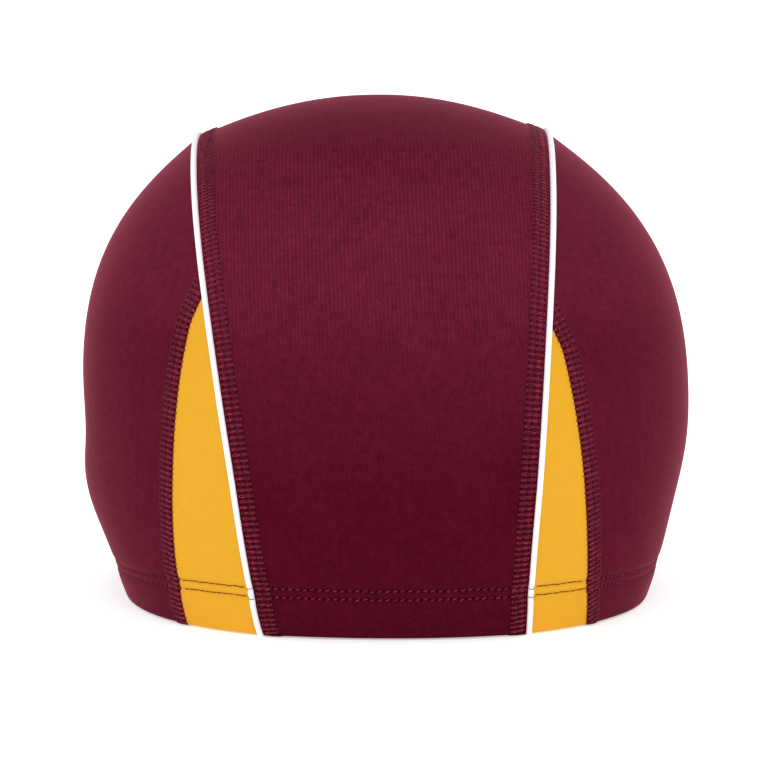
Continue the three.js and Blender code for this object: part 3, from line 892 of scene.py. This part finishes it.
def knit_fabric(name, shadowed, brighter, variation, hole_shade, depth, sheen_colour, specular):
    """Warp-knit nylon and elastane, dyed and heat-set. Painted light mixes the darker dye into the lighter
    one, ribs show as fine upright lines in relief and as painted shade, needle holes show as dots of painted
    shade, and a painted sheen is added to the colour at grazing angles.
    The grain is a field of the mesh, in metres across and along the ribs, so its scale is the real one.
    The knit's own wales are about 0.5 mm apart, too fine to show, so every second one is drawn."""
    material, tree = new_material(name)
    rib = sewing().rib
    grain = add_node(tree, "Attribute", attribute_name="grain").outputs["Vector"]
    long_cells, short_cells = (
        add_node(tree, "VectorMath", {0: grain, 1: (*scale, 0)}, operation="MULTIPLY")
        for scale in ((1 / rib, 1 / STREAK_LENGTH), (1 / LOOP_WIDTH, 1 / LOOP_LENGTH))
    )
    noises = {
        "sway": (grain, 1 / RIB_SWAY, 1),
        "streak": (long_cells, 1, 3),
        "loops": (short_cells, 1, 2),
        "cloud": (grain, 1 / CLOUD, 1),
        "mottle": (grain, 1 / MOTTLE, 3),
    }
    made = {}
    for noise, (vector, scale, detail) in noises.items():
        inputs = {"Vector": vector, "Scale": scale, "Detail": detail, "Roughness": 0.6}
        made[noise] = add_node(tree, "TexNoise", inputs)
    cloth = add_node(tree, "Attribute", attribute_name="cloth").outputs["Vector"]
    worked = add_node(tree, "SeparateXYZ", {0: cloth})
    made["ribbed"] = worked.outputs["Y"]
    made["across"] = add_node(tree, "SeparateXYZ", {0: grain}).outputs["X"]
    made["seam_holes"] = needle_holes(tree, "seam_stitch")
    made["hem_holes"] = needle_holes(tree, "hem_stitch")
    made["facing"] = add_node(tree, "LayerWeight", {"Blend": 0.5}).outputs["Facing"]

    # Ribs with their painted shade, tone, needle holes with their painted shade, relief, and the painted
    # sheen's share at grazing angles. Each row: result, operation and values, some named and made above.
    rows = (
        ("swayed", "MULTIPLY_ADD", "sway", 0.3 * rib, "across"),
        ("turn", "MULTIPLY", "swayed", 2 * math.pi / rib),
        ("wave", "SINE", "turn"),
        ("raised", "MULTIPLY_ADD", "wave", 0.5, 0.5),
        ("ridge", "POWER", "raised", 3),
        ("in_streak", "MULTIPLY_ADD", "streak", 1.6, -0.4),
        ("shown", "MAXIMUM", "in_streak", 0),
        ("in_loops", "MULTIPLY_ADD", "loops", 2.4, -0.2),
        ("broken", "MULTIPLY", "shown", "in_loops"),
        ("broken_ridge", "MULTIPLY", "ridge", "broken"),
        # The ribs go into the colour as painted shade and into the bump as relief.
        ("ribs", "MULTIPLY", "broken_ridge", "ribbed"),
        ("looped", "MULTIPLY_ADD", "loops", 0.9, "ribs"),
        ("mottled", "MULTIPLY_ADD", "mottle", 0.9, "looped"),
        ("clouded", "MULTIPLY_ADD", "cloud", 0.35, "mottled"),
        ("tone", "MULTIPLY_ADD", "streak", 0.35, "clouded"),
        ("knit", "MULTIPLY_ADD", "tone", variation, 1 - 1.35 * variation),
        # Needle holes darken the colour as painted shade, and also sink in the bump.
        ("holes", "MAXIMUM", "seam_holes", "hem_holes"),
        ("uneven", "MULTIPLY", "mottle", 1.8),
        ("hole", "MULTIPLY", "holes", "uneven"),
        ("beside_hole", "MULTIPLY_ADD", "hole", -hole_shade, 1),
        ("lit", "MULTIPLY", "knit", "beside_hole"),
        ("sunk", "MULTIPLY_ADD", "hole", -3, "ribs"),
        ("height", "MULTIPLY_ADD", "loops", 0.25, "sunk"),
        ("grazed", "POWER", "facing", 6),
    )
    for result, operation, *values in rows:
        inputs = {i: made.get(value, value) for i, value in enumerate(values)}
        made[result] = add_node(tree, "Math", inputs, operation=operation)

    # Painted light: the darker dye low down, the lighter one higher up.
    light_share = worked.outputs["X"]
    dye = add_node(tree, "Mix", {0: light_share, 6: (*shadowed, 1), 7: (*brighter, 1)}, data_type="RGBA")
    shaded = add_node(tree, "VectorMath", {0: dye.outputs[2], "Scale": made["lit"]}, operation="SCALE")
    # Painted sheen: a pale colour added to the base colour at grazing angles.
    painted_sheen = add_node(tree, "VectorMath", {0: sheen_colour, "Scale": made["grazed"]}, operation="SCALE")
    seen = add_node(tree, "VectorMath", {0: shaded, 1: painted_sheen}, operation="ADD")
    bump = add_node(tree, "Bump", {"Height": made["height"], "Distance": depth})
    surface = add_node(
        tree, "BsdfPrincipled",
        {"Base Color": seen, "Roughness": 0.62, "Specular IOR Level": specular, "Normal": bump},
    )
    add_node(tree, "OutputMaterial", {"Surface": surface})
    return material


def burgundy_tricot():
    """Burgundy swimwear tricot: deep red-brown, slightly pink where light grazes it."""
    return knit_fabric(
        "burgundy_tricot", tuple(colours().burgundy), tuple(colours().burgundy_stretched), variation=0.7,
        hole_shade=0.66, depth=0.04 * MM, sheen_colour=linear("#783640"), specular=0.005,
    )


def gold_tricot():
    """Gold swimwear tricot of the same knit. Its dye is bright, so the ribs hardly show."""
    dye = tuple(colours().gold)
    return knit_fabric(
        "gold_tricot", dye, dye, variation=0.09, hole_shade=0.12, depth=0.02 * MM, sheen_colour=linear("#302818"),
        specular=0.02,
    )


def white_piping():
    """White tricot sewn round a cord: smooth and nearly matt, with a faint knit and uneven whiteness."""
    material, tree = new_material("white_piping")
    grain = add_node(tree, "Attribute", attribute_name="grain").outputs["Vector"]
    knit, patches = (
        add_node(tree, "TexNoise", {"Vector": grain, "Scale": 1 / cell, "Detail": 2})
        for cell in (PIPING_KNIT, PIPING_PATCHES)
    )
    white = tuple(colours().white)
    shaded = (*(0.86 * c for c in white), 1)
    dye = add_node(tree, "Mix", {0: patches, 6: shaded, 7: (*white, 1)}, data_type="RGBA")
    bump = add_node(tree, "Bump", {"Height": knit, "Strength": 0.6, "Distance": 0.03 * MM})
    surface = add_node(
        tree, "BsdfPrincipled",
        {
            "Base Color": dye.outputs[2], "Roughness": 0.5, "Sheen Weight": 0.1, "Specular IOR Level": 0.2,
            "Normal": bump,
        },
    )
    add_node(tree, "OutputMaterial", {"Surface": surface})
    return material


def polyester(shade):
    """Textured polyester thread, dyed to match: fine filaments with a soft gloss that comes and goes."""
    material, tree = new_material(f"polyester_{shade}")
    place = add_node(tree, "TexCoord").outputs["Object"]
    fibres = add_node(
        tree, "TexNoise", {"Vector": place, "Scale": 1 / FILAMENTS, "Detail": 3, "Roughness": 0.6}
    )
    share = add_node(tree, "MapRange", {"Value": fibres, "From Min": 0.3, "From Max": 0.7})
    thread = getattr(colours(), f"thread_{shade}")
    dark, light = (0.45 * c for c in thread), (min(1.6 * c, 1) for c in thread)
    dye = add_node(tree, "Mix", {0: share, 6: (*dark, 1), 7: (*light, 1)}, data_type="RGBA")
    surface = add_node(
        tree, "BsdfPrincipled", {"Base Color": dye.outputs[2], "Roughness": 0.55, "Specular IOR Level": 0.08}
    )
    add_node(tree, "OutputMaterial", {"Surface": surface})
    return material


def finish(maker, *shade):
    """A material by the function that makes it, made the first time it is asked for."""
    return bpy.data.materials.get("_".join([maker.__name__, *shade])) or maker(*shade)


# Sewn pieces.

def cut(p, widths, hems):
    """A panel's flat width, length and area as cut, from seam to seam, with the layer turned up at each hem.
    The stretch is taken back."""
    rows = widths / STRETCH
    turned_up = hems * sewing().hem
    across, down = p[:-1, 1:] - p[:-1, :-1], p[1:, :-1] - p[:-1, :-1]
    area = np.linalg.norm(np.cross(across, down), axis=-1).sum() / STRETCH ** 2 + turned_up * rows[0]
    width, length = rows.max(), travelled(p)[-1].max() / STRETCH + turned_up
    return width, length, min(area, width * length)


def panel(name, made, pale, ribbed, material, lines, hems=1):
    """Sews a panel from its grid: seam bands, tucked edges, hem and wall. pale says how much painted light
    it takes, from the darker dye at 0 to the lighter at 1, and ribbed says how much its ribs show, in relief
    and as painted shade."""
    p, from_start, from_end = made
    z = p[..., 2]
    worn = dress(p, lines)
    outer = placed(p, worn.rise, worn.lift)
    inner = placed(p, relief(p, worn.from_seam) - wall(z) + rolled(z), worn.lift)
    fields = {
        "grain": points((from_start - from_end) / 2, travelled(p), 0),
        "cloth": points(pale, ribbed, np.zeros_like(z)),
        "seam_stitch": worn.seam_stitch,
        "hem_stitch": worn.hem_stitch,
    }
    piece = wall_object(f"{name}_cloth", outer, inner, material, fields)
    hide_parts(name)
    width, length, area = cut(outer, (from_start + from_end)[:, 0], hems)


class CAP_OT_centre_panel(bpy.types.Operator):
    """Sew the ribbed centre panel from hem to hem over the crown"""

    bl_idname = "swim_cap.centre_panel"
    bl_label = "Centre Panel"

    def execute(self, context):
        cloth = finish(burgundy_tricot)
        made = centre_grid()
        z = made[0][..., 2]
        # Painted light: lighter from the hem up, with a little less of it over the crown.
        pale = ease(SHADOWED_HEIGHT, BRIGHT_HEIGHT, z) * (1 - CROWN_DIMMED * ease(BRIGHT_HEIGHT, CROWN_HEIGHT, z))
        # The ribs' painted shade grows higher up, where the top light grazes them, and fades over the crown.
        ribbed = lerp(*CENTRE_RIBS, ease(*RIBS_GROW, z)) * (1 - RIBS_LOST * ease(*RIBS_FADE, z))
        panel("centre_panel", made, pale, ribbed, cloth, cap_lines(), hems=2)
        return {"FINISHED"}


class CAP_OT_side_panels(bpy.types.Operator):
    """Sew the two rounded side panels"""

    bl_idname = "swim_cap.side_panels"
    bl_label = "Side Panels"

    def execute(self, context):
        cloth = finish(burgundy_tricot)
        for side in SIDES:
            made = side_grid(side)
            # Painted light: lighter higher up.
            pale = lerp(*SIDE_LIGHTING, ease(*SIDE_BRIGHTENS, made[0][..., 2]))
            panel(f"side_panel_{side.name}", made, pale, SIDE_RIBS, cloth, cap_lines())
        return {"FINISHED"}


class CAP_OT_wedges(bpy.types.Operator):
    """Sew the four gold wedges"""

    bl_idname = "swim_cap.wedges"
    bl_label = "Gold Wedges"

    def execute(self, context):
        cloth = finish(gold_tricot)
        lines = cap_lines()
        for side in SIDES:
            for end_name, end in ENDS:
                made = wedge_grid(side, end)
                panel(f"insert_{end_name}_{side.name}", made, 1, GOLD_RIBS, cloth, lines)
        return {"FINISHED"}


def piping_line(side):
    """The piping's centre line with its outward and crosswise directions, lengths and heights."""
    p, along = resampled(seam_line(side), PIPING_STEP)
    p[[0, -1], 2] = 0
    out = normals(p)
    across = unit(np.cross(out, np.gradient(p, axis=0)))
    z = p[:, 2]
    none = np.zeros(len(p))
    rise = relief(p, none) + sewing().piping_rise + PIPING_IN_HEM * hem_shape(np.maximum(z, ROLL))
    return placed(p, rise, none), out, across, along, z


class CAP_OT_piping(bpy.types.Operator):
    """Lay the white piping in the two long seams"""

    bl_idname = "swim_cap.piping"
    bl_label = "Piping"

    def execute(self, context):
        cover = finish(white_piping)
        turn = 2 * math.pi * np.arange(PIPING_SIDES) / PIPING_SIDES
        for side in SIDES:
            centre, out, across, along, z = piping_line(side)
            rows = (sewing().hem_row_low, sewing().hem_row_high)
            pinch = sum(PINCH * np.exp(-(((z - row) / PINCH_REACH) ** 2)) for row in rows)
            radius = sewing().piping / 2 * (1 - pinch)
            co, faces = rings(centre[None], out[None], across[None], radius, PIPING_SIDES)
            co[0, [0, -1], :, 2] = 0
            co[..., 2] = np.maximum(co[..., 2], 0)
            grain = points(sewing().piping / 2 * turn[None, :], along[:, None], 0)
            fields = {"grain": grain.reshape(-1, 3)}
            piece = make_object(f"piping_{side.name}_cord", co.reshape(-1, 3), faces, cover, fields)
            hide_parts(f"piping_{side.name}")
        return {"FINISHED"}


# Stitches.

def arched(p, height, lines):
    """Threads over points of the form: each rises from the cloth and dives back in."""
    worn = dress(p, lines)
    arch = (height + SUNK) * np.sin(math.pi * THREAD_STEPS) - SUNK
    return placed(p, worn.rise + arch, worn.lift), worn


def coverstitch(track, start, strand, turned, lines, rng):
    """One strand of each stitch of a band that starts at a distance from a line."""
    pitch = sewing().seam_pitch
    count = int(track.along[-1] / pitch)
    along = lerp(strand.along_from, strand.along_to, THREAD_STEPS)
    along = np.arange(count)[:, None] + (1 - along if turned else along)
    along += rng.normal(0, STRAY_ALONG, (count, 1))
    row = lerp(strand.row_from, strand.row_to, THREAD_STEPS) + rng.normal(0, STRAY_ACROSS, (count, 1))
    p = track.beside(along * pitch, start + FIRST_NEEDLE + row * sewing().needle_gap)
    laid, worn = arched(p, strand.height, lines)
    here = worn.on_centre if start == PANEL_EDGE else ~worn.on_centre
    clear = worn.from_seam.min(axis=1) > SEAM_CLEARS_PIPING * sewing().piping
    shown = here.all(axis=1) & clear & (laid[..., 2].min(axis=1) > LOWEST_STITCH)
    return laid[shown], normals(p)[shown]


class CAP_OT_seam_stitches(bpy.types.Operator):
    """Coverstitch the bands beside the piping and beside the gold"""

    bl_idname = "swim_cap.seam_stitches"
    bl_label = "Seam Stitches"

    def execute(self, context):
        lines = cap_lines()
        rng = np.random.default_rng(7)
        bands = [(Track(seam_line(side), -side.sign), PANEL_EDGE, side.sign > 0) for side in SIDES]
        for side in SIDES:
            for _, end in ENDS:
                bands.append((Track(gold_line(side, end), side.sign), GOLD_START, side.sign < 0))
        for shade, strands in SEAM_STRANDS.items():
            made = [
                coverstitch(track, start, strand, turned, lines, rng)
                for track, start, turned in bands
                for strand in strands + (EDGE_STRANDS if shade == "red" and start == GOLD_START else ())
            ]
            laid, out = (np.concatenate(parts) for parts in zip(*made))
            piece = threads(f"seam_thread_{shade}", laid, out, SEAM_THREAD, finish(polyester, shade))
        return {"FINISHED"}


class CAP_OT_hem_stitches(bpy.types.Operator):
    """Stitch the hem with two needle rows"""

    bl_idname = "swim_cap.hem_stitches"
    bl_label = "Hem Stitches"

    def execute(self, context):
        lines = cap_lines()
        rng = np.random.default_rng(11)
        stitches = {shade: [] for shade in HEM_THREADS}
        for z in (sewing().hem_row_low, sewing().hem_row_high):
            for shade, made in self.row(z, lines, rng).items():
                stitches[shade].append(made)
            stitches["dark"] += [self.over_piping(side, z) for side in SIDES]
        for shade, made in stitches.items():
            laid, out = (np.concatenate(parts) for parts in zip(*made))
            thread = finish(polyester, shade)
            piece = threads(f"hem_thread_{shade}", laid, out, HEM_THREADS[shade], thread, sides=6)
        return {"FINISHED"}

    def row(self, z, lines, rng):
        """One row of stitches: those on burgundy, short with a slant, and those on gold, end to end."""
        turns, stitches = hem_ring()
        count = round(stitches[-1])
        found = {}
        for gold, (begin, stop, slant) in ((False, HEM_STITCH), (True, HEM_STITCH_ON_GOLD)):
            at = np.arange(count)[:, None] + lerp(begin, stop, THREAD_STEPS)
            at += rng.normal(0, HEM_STRAY_ALONG, (count, 1))
            level = z + lerp(-slant, slant, THREAD_STEPS) + rng.normal(0, HEM_STRAY_UP, (count, 1))
            turn = np.interp(np.mod(at, count), stitches, turns)
            p = ring_point(turn, level - hem_sag(ring_point(turn, z)))
            laid, worn = arched(p, HEM_THREAD_RISE, lines)
            clear = worn.from_seam.min(axis=1) > HEM_CLEARS_PIPING * sewing().piping
            kept = clear & (worn.on_gold.all(axis=1) == gold)
            centre = worn.on_centre.all(axis=1)
            shown = {"dark": kept} if gold else {"pale": kept & centre, "deep": kept & ~centre}
            found |= {shade: (laid[part], normals(p)[part]) for shade, part in shown.items()}
        return found

    def over_piping(self, side, z):
        """The threads that cross the piping at one row."""
        centre, out, across, _, heights = piping_line(side)
        turns = np.linspace(-CROSSING_TURN, CROSSING_TURN, len(THREAD_STEPS))[:, None]
        half = len(heights) // 2
        crossings = [start + int(np.argmin(np.abs(heights[start:][:half] - z))) for start in (0, half)]
        arcs = np.array([np.cos(turns) * out[i] + np.sin(turns) * across[i] for i in crossings])
        return centre[crossings][:, None] + arcs * (CROSSING_SHARE * sewing().piping + CROSSING_CLEARS), arcs


# Stage.

def area_light(name, place, width, height, watts):
    """A softbox that is turned to the cap."""
    data = bpy.data.lights.new(name, "AREA")
    data.shape = "RECTANGLE"
    data.size, data.size_y = width, height
    data.energy = watts
    light = bpy.data.objects.new(name, data)
    light.location = place
    light.rotation_mode = "QUATERNION"
    light.rotation_quaternion = (Vector(LIGHTS_AIM) - Vector(place)).to_track_quat("-Z", "Y")
    bpy.context.scene.collection.objects.link(light)


class CAP_OT_stage(bpy.types.Operator):
    """Set the pale floor, the soft studio light and the camera"""

    bl_idname = "swim_cap.stage"
    bl_label = "Stage"

    def execute(self, context):
        scene = context.scene
        # Matt white paper that glows a little, so that it reads as white all round the cap.
        material, tree = new_material("pale_floor")
        surface = add_node(
            tree, "BsdfPrincipled",
            {
                "Base Color": (*colours().floor, 1), "Roughness": 0.8, "Specular IOR Level": 0.2,
                "Emission Color": (1, 1, 1, 1), "Emission Strength": FLOOR_GLOW,
            },
        )
        add_node(tree, "OutputMaterial", {"Surface": surface})
        mesh = bpy.data.meshes.new("floor")
        corners = [(x * FLOOR_HALF, y * FLOOR_HALF, 0) for x, y in ((-1, -1), (1, -1), (1, 1), (-1, 1))]
        mesh.from_pydata(corners, [], [(0, 1, 2, 3)])
        mesh.materials.append(material)
        floor = bpy.data.objects.new("floor", mesh)
        floor.location.z = -FLOOR_DROP
        scene.collection.objects.link(floor)

        world = bpy.data.worlds.new("studio")
        world.use_nodes = True
        sky = world.node_tree.nodes["Background"]
        sky.inputs["Color"].default_value = (1, 1, 1, 1)
        sky.inputs["Strength"].default_value = SKY_STRENGTH
        scene.world = world

        for softbox in SOFTBOXES:
            area_light(*softbox)

        camera = bpy.data.objects.new("camera", bpy.data.cameras.new("camera"))
        camera.data.lens = CAMERA_LENS
        camera.data.sensor_width = SENSOR
        camera.data.clip_end = CLIP_END
        back = Vector((0, -math.cos(CAMERA_ELEVATION), math.sin(CAMERA_ELEVATION)))
        camera.location = CAMERA_TARGET + back * CAMERA_DISTANCE
        camera.rotation_mode = "QUATERNION"
        camera.rotation_quaternion = (-back).to_track_quat("-Z", "Y")
        scene.collection.objects.link(camera)
        scene.camera = camera
        scene.view_settings.view_transform = "Standard"
        return {"FINISHED"}


class CAP_PT_sidebar(bpy.types.Panel):
    """The cap's sizes and pieces"""

    bl_label = "Swim Cap"
    bl_idname = "CAP_PT_sidebar"
    bl_space_type = "VIEW_3D"
    bl_region_type = "UI"
    bl_category = "Swim Cap"

    def draw(self, context):
        for group in (form(), sewing(), colours()):
            box = self.layout.box()
            for name in group.__annotations__:
                box.prop(group, name)
        for operator in OPERATORS:
            self.layout.operator(operator.bl_idname)


OPERATORS = (
    CAP_OT_centre_panel,
    CAP_OT_side_panels,
    CAP_OT_wedges,
    CAP_OT_piping,
    CAP_OT_seam_stitches,
    CAP_OT_hem_stitches,
    CAP_OT_stage,
)
GROUPS = {"cap_form": CapForm, "cap_sewing": CapSewing, "cap_colours": CapColours}
CLASSES = (*GROUPS.values(), *OPERATORS, CAP_PT_sidebar)


def register():
    for made in CLASSES:
        bpy.utils.register_class(made)
    for name, group in GROUPS.items():
        setattr(bpy.types.Scene, name, PointerProperty(type=group))


def unregister():
    for name in GROUPS:
        delattr(bpy.types.Scene, name)
    for made in reversed(CLASSES):
        bpy.utils.unregister_class(made)


def main():
    register()
    bpy.ops.swim_cap.centre_panel()
    bpy.ops.swim_cap.side_panels()
    bpy.ops.swim_cap.wedges()
    bpy.ops.swim_cap.piping()
    bpy.ops.swim_cap.seam_stitches()
    bpy.ops.swim_cap.hem_stitches()
    bpy.ops.swim_cap.stage()


if __name__ == "__main__":
    main()
